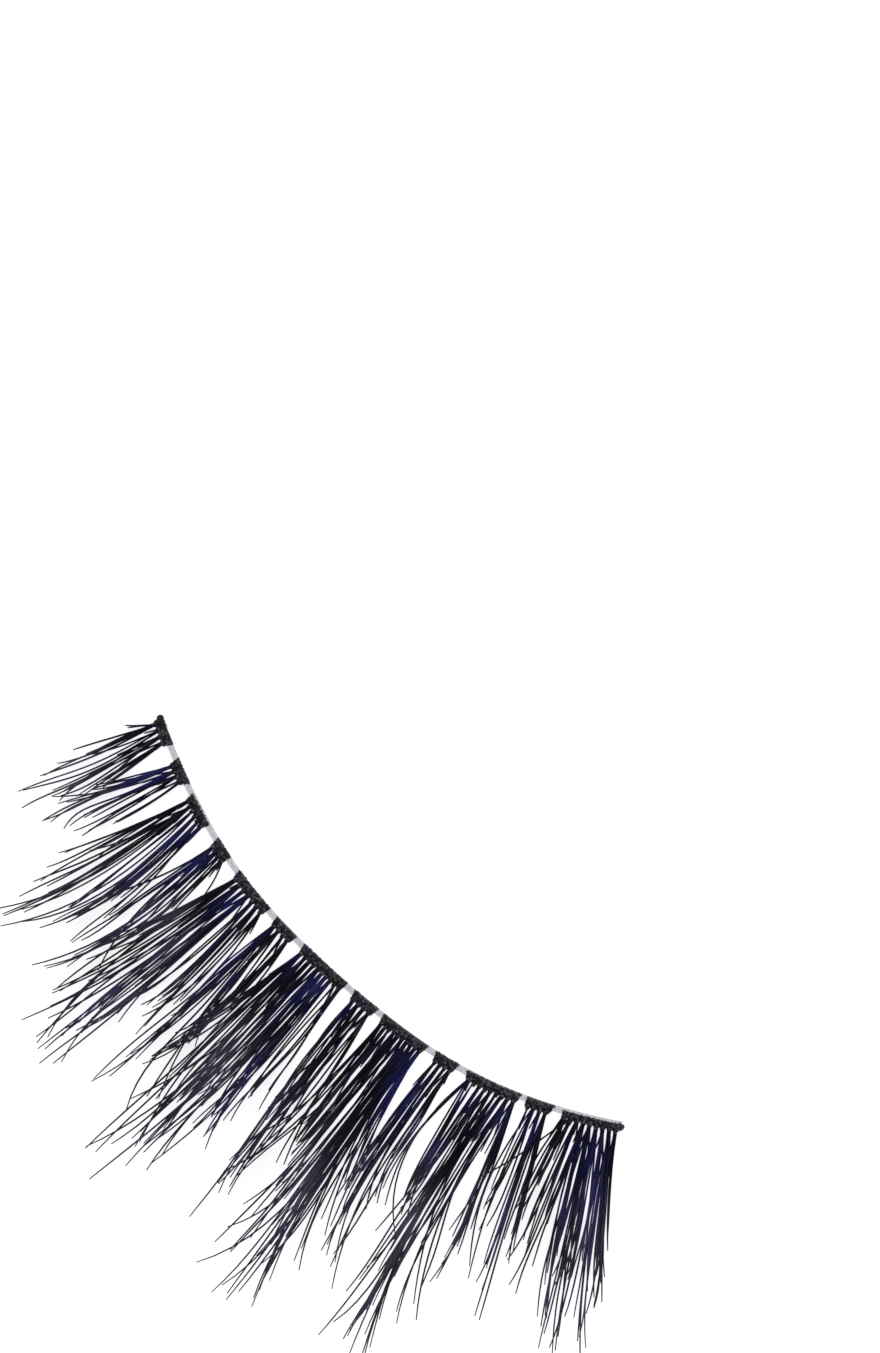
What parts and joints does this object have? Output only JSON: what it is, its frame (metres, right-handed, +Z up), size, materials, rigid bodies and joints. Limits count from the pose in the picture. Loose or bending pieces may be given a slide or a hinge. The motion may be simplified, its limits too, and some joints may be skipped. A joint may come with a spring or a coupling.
{
  "type": "false eyelash strip",
  "caption": "False eyelash strip: a clear curved band with knotted bars, each holding a fan of dark, tapered, upward-curling lashes.",
  "frame": {"origin": "middle of the strip's bounding box, on the surface that it lies on", "axes": "+X along the chord of the band, +Y towards the eyelid side of the band, +Z up from the surface; the lashes point to -Y and their tips curl up to +Z"},
  "size_m": [0.0406, 0.0204, 0.0054],
  "materials": {
    "clear_nylon": "clear, glossy",
    "black_knot_thread": "dark, satin",
    "black_lash_hair": "near-black synthetic hair with deep indigo and plum strands, soft gloss"
  },
  "bodies": {
    "root": {"clear_band": "clear_nylon", "knot_bar_01": "black_knot_thread", "knot_bar_02": "black_knot_thread", "knot_bar_03": "black_knot_thread", "knot_bar_04": "black_knot_thread", "knot_bar_05": "black_knot_thread", "knot_bar_06": "black_knot_thread", "knot_bar_07": "black_knot_thread", "knot_bar_08": "black_knot_thread", "knot_bar_09": "black_knot_thread", "knot_bar_10": "black_knot_thread", "knot_bar_11": "black_knot_thread", "knot_bar_12": "black_knot_thread", "knot_bar_13": "black_knot_thread", "lash_cluster_01": "black_lash_hair", "lash_cluster_02": "black_lash_hair", "lash_cluster_03": "black_lash_hair", "lash_cluster_04": "black_lash_hair", "lash_cluster_05": "black_lash_hair", "lash_cluster_06": "black_lash_hair", "lash_cluster_07": "black_lash_hair", "lash_cluster_08": "black_lash_hair", "lash_cluster_09": "black_lash_hair", "lash_cluster_10": "black_lash_hair", "lash_cluster_11": "black_lash_hair", "lash_cluster_12": "black_lash_hair", "lash_cluster_13": "black_lash_hair"}
  },
  "joints": []
}
